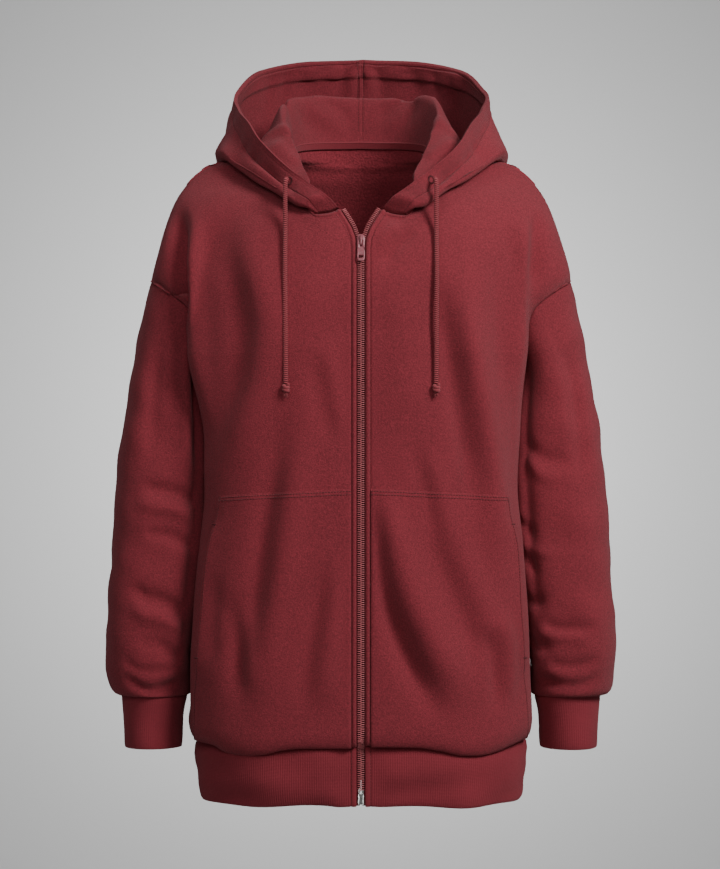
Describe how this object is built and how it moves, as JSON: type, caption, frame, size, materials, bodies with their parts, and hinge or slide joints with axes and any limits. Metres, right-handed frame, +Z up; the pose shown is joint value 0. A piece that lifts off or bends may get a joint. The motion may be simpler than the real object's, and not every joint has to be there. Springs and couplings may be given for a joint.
{
  "type": "zip up hoodie",
  "caption": "Long oversized zip up hoodie, filled out as if worn, with a folded-back hood, drawcords, two patch pockets, ribbed cuffs and a ribbed hem.",
  "frame": {"origin": "centre of the neck, level with the neck ends of the shoulder seams, where the wearer holds the garment up", "axes": "+X to the wearer's left, the front faces -Y, +Z up"},
  "size_m": [0.5836, 0.3053, 0.8645],
  "materials": {
    "fleece": "brushed knit sweatshirt fleece",
    "rib": "fine vertical rib knit",
    "tape": "woven tape",
    "cord": "twisted soft cord",
    "teeth": "dusty pink moulded zip teeth",
    "painted_metal": "painted to match the teeth",
    "silver_metal": "plain"
  },
  "bodies": {
    "garment": {"back": "fleece", "front_left": "fleece", "front_right": "fleece", "sleeve_left": "fleece", "sleeve_right": "fleece", "hood_left": "fleece", "hood_right": "fleece", "pocket_left": "fleece", "pocket_right": "fleece", "hem_rib": "rib", "cuff_left": "rib", "cuff_right": "rib", "neck_tape": "tape", "zip_tape_left": "tape", "zip_tape_right": "tape", "zip_chain_left": "teeth", "zip_chain_right": "teeth", "zip_slider": "painted_metal", "zip_bottom_box": "silver_metal", "drawcord_left": "cord", "drawcord_right": "cord", "drawcord_knot_left": "cord", "drawcord_knot_right": "cord"},
    "pull_tab": {"zip_pull_tab": "painted_metal"}
  },
  "joints": [
    {"name": "pull_tab_swing", "type": "hinge", "parent": "garment", "child": "pull_tab", "pos_m": [0, -0.11056, -0.09309], "axis": [-1, 0, 0], "range_deg": [0, 150]}
  ]
}
